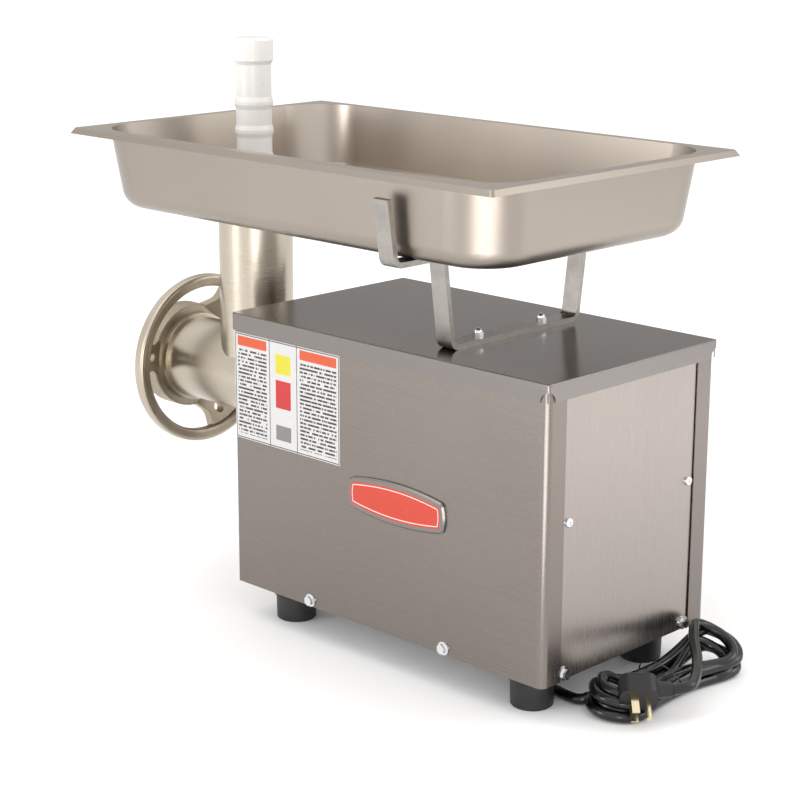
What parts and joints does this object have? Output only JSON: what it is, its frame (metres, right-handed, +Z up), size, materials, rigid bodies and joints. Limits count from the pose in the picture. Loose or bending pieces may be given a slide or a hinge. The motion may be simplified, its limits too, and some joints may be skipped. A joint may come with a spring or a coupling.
{
  "type": "electric meat grinder",
  "caption": "Bench meat grinder: sheet steel motor cabinet on rubber feet, grinding head with hand ring nut, feed pan on a bent bar bracket, plunger, mains cord in a hank.",
  "frame": {"origin": "on the floor under the middle of the machine's outer box, cord left out", "axes": "+Z up, -Y the way the grinding head points, +Y the rear panel, +X the side with the badge"},
  "size_m": [0.325, 0.6613, 0.531],
  "materials": {
    "brushed_panel": "brushed stainless sheet, satin",
    "pan_steel": "drawn stainless, satin",
    "bar_steel": "mill finish stainless bar",
    "galvanised": "galvanised sheet",
    "head_steel": "machined stainless tube, satin",
    "tinned_iron": "tinned casting, machined rim",
    "tool_steel": "ground tool steel",
    "white_plastic": "food grade white plastic",
    "foot_rubber": "matt black rubber",
    "zinc": "bright zinc plate",
    "badge_metal": "satin plate with a printed field",
    "label_film": "printed white film",
    "black_plastic": "black plastic",
    "green_plastic": "green plastic",
    "red_plastic": "red plastic",
    "cast_aluminium": "as cast",
    "gear_steel": "cut steel",
    "bearing_steel": "ground steel",
    "lamination": "stacked electrical steel",
    "copper": "enamelled copper",
    "cord_rubber": "black rubber sheath",
    "blade_brass": "brass blades"
  },
  "bodies": {
    "cabinet": {"housing_wrap": "brushed_panel", "rear_panel": "brushed_panel", "top_cover": "brushed_panel", "pan_bracket": "bar_steel", "base_plate": "galvanised", "rear_post_right": "galvanised", "rear_post_left": "galvanised", "motor_cradle": "galvanised", "capacitor_clip": "galvanised", "fan_cover": "galvanised", "grinder_head": "head_steel", "head_socket": "tinned_iron", "hole_plate": "tool_steel", "plate_key": "tool_steel", "foot_front_left": "foot_rubber", "foot_front_right": "foot_rubber", "foot_rear_left": "foot_rubber", "foot_rear_right": "foot_rubber", "oil_seal": "foot_rubber", "foot_bolts": "zinc", "bottom_bolts": "zinc", "rear_screws": "zinc", "bracket_bolts": "zinc", "bracket_nuts": "zinc", "socket_bolts": "zinc", "gearbox_bolts": "zinc", "badge_plate": "badge_metal", "warning_label": "label_film", "switch_box": "black_plastic", "cord_gland": "black_plastic", "plug_body": "black_plastic", "gearbox_housing": "cast_aluminium", "gearbox_cover": "cast_aluminium", "motor_housing": "cast_aluminium", "motor_rear_bell": "cast_aluminium", "start_capacitor": "cast_aluminium", "output_bearings": "bearing_steel", "layshaft_bearings": "bearing_steel", "motor_bearings": "bearing_steel", "stator_core": "lamination", "stator_windings": "copper", "power_cord": "cord_rubber", "cord_hank": "cord_rubber", "plug_blades": "blade_brass"},
    "drive_output": {"output_shaft": "gear_steel", "output_gear": "gear_steel", "auger": "tinned_iron", "knife": "tool_steel"},
    "drive_layshaft": {"layshaft": "gear_steel", "layshaft_gear": "gear_steel"},
    "motor_rotor": {"motor_shaft": "gear_steel", "motor_pinion": "gear_steel", "rotor_core": "lamination", "cooling_fan": "black_plastic"},
    "ring_nut": {"ring_nut": "tinned_iron"},
    "plunger": {"plunger": "white_plastic"},
    "pan": {"feed_pan": "pan_steel"},
    "lock_knob": {"lock_knob": "black_plastic"},
    "start_button": {"start_button": "green_plastic"},
    "stop_button": {"stop_button": "red_plastic"}
  },
  "joints": [
    {"name": "motor_spin", "type": "hinge", "parent": "cabinet", "child": "motor_rotor", "pos_m": [0, 0.12775, 0.1415], "axis": [0, 1, 0], "continuous": true},
    {"name": "layshaft_spin", "type": "hinge", "parent": "cabinet", "child": "drive_layshaft", "pos_m": [0.05142, -0.00625, 0.158], "axis": [0, 1, 0], "continuous": true},
    {"name": "auger_spin", "type": "hinge", "parent": "cabinet", "child": "drive_output", "pos_m": [0, -0.08125, 0.2025], "axis": [0, 1, 0], "continuous": true},
    {"name": "ring_nut_turn", "type": "hinge", "parent": "cabinet", "child": "ring_nut", "pos_m": [0, -0.27325, 0.2025], "axis": [0, 1, 0], "range_deg": [0, 1440]},
    {"name": "plunger_lift", "type": "slide", "parent": "cabinet", "child": "plunger", "axis": [0, 0, 1], "range_m": [0, 0.3]},
    {"name": "pan_lift", "type": "slide", "parent": "cabinet", "child": "pan", "axis": [0, 0, 1], "range_m": [0, 0.15]},
    {"name": "lock_knob_turn", "type": "hinge", "parent": "cabinet", "child": "lock_knob", "pos_m": [-0.044, -0.10575, 0.2025], "axis": [-1, 0, 0], "range_deg": [0, 720]},
    {"name": "start_press", "type": "slide", "parent": "cabinet", "child": "start_button", "axis": [1, 0, 0], "range_m": [0, 0.003], "stiffness_N_per_m": 400, "springref_m": -0.002},
    {"name": "stop_press", "type": "slide", "parent": "cabinet", "child": "stop_button", "axis": [1, 0, 0], "range_m": [0, 0.003], "stiffness_N_per_m": 400, "springref_m": -0.002}
  ],
  "couplings": [
    {"joint": "layshaft_spin", "follows": "motor_spin", "ratio": -0.33333},
    {"joint": "auger_spin", "follows": "motor_spin", "ratio": 0.12}
  ]
}
